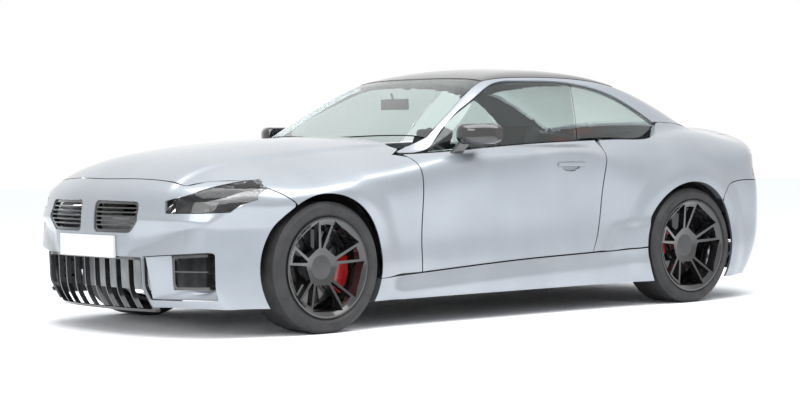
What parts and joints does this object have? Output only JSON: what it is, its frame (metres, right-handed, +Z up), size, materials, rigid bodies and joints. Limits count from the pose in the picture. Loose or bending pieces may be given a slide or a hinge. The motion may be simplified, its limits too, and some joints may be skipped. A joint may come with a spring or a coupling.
{
  "type": "coupe car",
  "caption": "Coupe car: low painted body with twin front grilles, dark roof, doors, hood and boot lid that open, steered front wheels and wheels that roll.",
  "frame": {"origin": "on the ground under the middle of the car's bounding box", "axes": "+X forward, +Y to the car's left, +Z up"},
  "size_m": [4.58, 2.08, 1.4039],
  "materials": {
    "paint": "gloss metallic",
    "carbon": "gloss",
    "glass": "polished",
    "black_trim": "gloss",
    "plastic": "matte",
    "lamp": "polished",
    "red_lamp": "gloss",
    "steel": "brushed",
    "iron": "matte",
    "alloy": "satin",
    "underbody": "satin",
    "wheel": "gloss",
    "tyre": "matte",
    "caliper": "gloss",
    "leather": "satin",
    "plate": "satin"
  },
  "bodies": {
    "body_shell": {"fixed_windows": "glass", "front_fenders": "paint", "front_bumper": "paint", "roof_panel": "carbon", "roof_rails": "paint", "rear_quarters": "paint", "rear_bumper": "paint", "exhaust": "steel", "rear_diffuser": "black_trim", "headlamps": "lamp", "tail_lamps": "red_lamp", "grilles": "black_trim", "side_sills": "paint", "cowl_panel": "plastic", "arch_liners": "plastic", "engine_block": "iron", "radiator_pack": "alloy", "floor_pan": "underbody", "dashboard": "plastic", "rear_calipers": "caliper", "front_axle": "iron", "rear_axle": "iron", "seats": "leather", "steering_wheel": "plastic", "interior_mirror": "plastic", "number_plates": "plate"},
    "door_left": {"door_left": "paint", "door_glass_left": "glass", "mirror_left": "black_trim"},
    "door_right": {"door_right": "paint", "door_glass_right": "glass", "mirror_right": "black_trim"},
    "hood": {"hood": "paint"},
    "boot_lid": {"boot_lid": "paint"},
    "knuckle_left": {"knuckle_left": "iron", "caliper_left": "caliper"},
    "knuckle_right": {"knuckle_right": "iron", "caliper_right": "caliper"},
    "wheel_front_left": {"wheel_front_left": "wheel", "tyre_front_left": "tyre"},
    "wheel_front_right": {"wheel_front_right": "wheel", "tyre_front_right": "tyre"},
    "wheel_rear_left": {"wheel_rear_left": "wheel", "tyre_rear_left": "tyre"},
    "wheel_rear_right": {"wheel_rear_right": "wheel", "tyre_rear_right": "tyre"}
  },
  "joints": [
    {"name": "door_left_hinge", "type": "hinge", "parent": "body_shell", "child": "door_left", "pos_m": [0.716, 0.89, 0.6], "axis": [0, 0, -1], "range_deg": [0, 65]},
    {"name": "door_right_hinge", "type": "hinge", "parent": "body_shell", "child": "door_right", "pos_m": [0.716, -0.89, 0.6], "axis": [0, 0, 1], "range_deg": [0, 65]},
    {"name": "hood_hinge", "type": "hinge", "parent": "body_shell", "child": "hood", "pos_m": [0.768, 0, 0.95], "axis": [0, -1, 0], "range_deg": [0, 50]},
    {"name": "boot_lid_hinge", "type": "hinge", "parent": "body_shell", "child": "boot_lid", "pos_m": [-1.642, 0, 1.08], "axis": [0, 1, 0], "range_deg": [0, 75]},
    {"name": "steering_left", "type": "hinge", "parent": "body_shell", "child": "knuckle_left", "pos_m": [1.433, 0.7305, 0.3375], "axis": [0, 0, 1], "range_deg": [-35, 35]},
    {"name": "steering_right", "type": "hinge", "parent": "body_shell", "child": "knuckle_right", "pos_m": [1.433, -0.7305, 0.3375], "axis": [0, 0, 1], "range_deg": [-35, 35]},
    {"name": "front_left_wheel_spin", "type": "hinge", "parent": "knuckle_left", "child": "wheel_front_left", "pos_m": [1.433, 0.8085, 0.3375], "axis": [0, 1, 0], "continuous": true},
    {"name": "front_right_wheel_spin", "type": "hinge", "parent": "knuckle_right", "child": "wheel_front_right", "pos_m": [1.433, -0.8085, 0.3375], "axis": [0, 1, 0], "continuous": true},
    {"name": "rear_left_wheel_spin", "type": "hinge", "parent": "body_shell", "child": "wheel_rear_left", "pos_m": [-1.314, 0.8025, 0.3395], "axis": [0, 1, 0], "continuous": true},
    {"name": "rear_right_wheel_spin", "type": "hinge", "parent": "body_shell", "child": "wheel_rear_right", "pos_m": [-1.314, -0.8025, 0.3395], "axis": [0, 1, 0], "continuous": true}
  ],
  "couplings": [
    {"joint": "steering_right", "follows": "steering_left", "ratio": 1}
  ]
}
